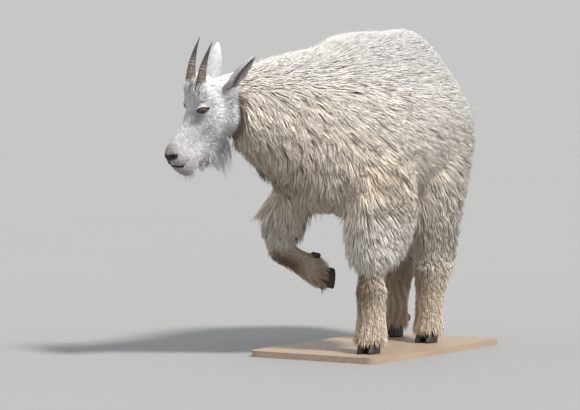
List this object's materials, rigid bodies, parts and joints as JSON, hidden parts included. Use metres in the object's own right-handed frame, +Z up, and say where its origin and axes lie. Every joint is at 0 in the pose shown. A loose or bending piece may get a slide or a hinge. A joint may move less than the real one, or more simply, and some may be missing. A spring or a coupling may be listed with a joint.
{
  "type": "mountain goat model",
  "caption": "Life-size still model of a shaggy white mountain goat in mid step, one foreleg raised and head turned to its right, on a plain flat board.",
  "frame": {"origin": "centre of the bottom of the bounding box, on the board's underside", "axes": "+Z up; the goat faces -Y; its left side is +X"},
  "size_m": [0.4867, 1.0964, 0.922],
  "materials": {
    "coat": "matte woolly hair",
    "horn": "satin horn",
    "eye": "wet gloss",
    "hoof": "satin horn",
    "board": "matte paint"
  },
  "bodies": {
    "root": {"trunk": "coat", "neck": "coat", "head": "coat", "tail": "coat", "ear_left": "coat", "ear_right": "coat", "leg_front_left_upper": "coat", "leg_front_left_lower": "coat", "leg_front_right_upper": "coat", "leg_front_right_lower": "coat", "leg_hind_left_upper": "coat", "leg_hind_left_lower": "coat", "leg_hind_right_upper": "coat", "leg_hind_right_lower": "coat", "horn_left": "horn", "horn_right": "horn", "eye_left": "eye", "eye_right": "eye", "claw_front_left_left": "hoof", "dewclaw_front_left_left": "hoof", "claw_front_left_right": "hoof", "dewclaw_front_left_right": "hoof", "claw_front_right_left": "hoof", "dewclaw_front_right_left": "hoof", "claw_front_right_right": "hoof", "dewclaw_front_right_right": "hoof", "claw_hind_left_left": "hoof", "dewclaw_hind_left_left": "hoof", "claw_hind_left_right": "hoof", "dewclaw_hind_left_right": "hoof", "claw_hind_right_left": "hoof", "dewclaw_hind_right_left": "hoof", "claw_hind_right_right": "hoof", "dewclaw_hind_right_right": "hoof", "stand_board": "board"}
  },
  "joints": []
}
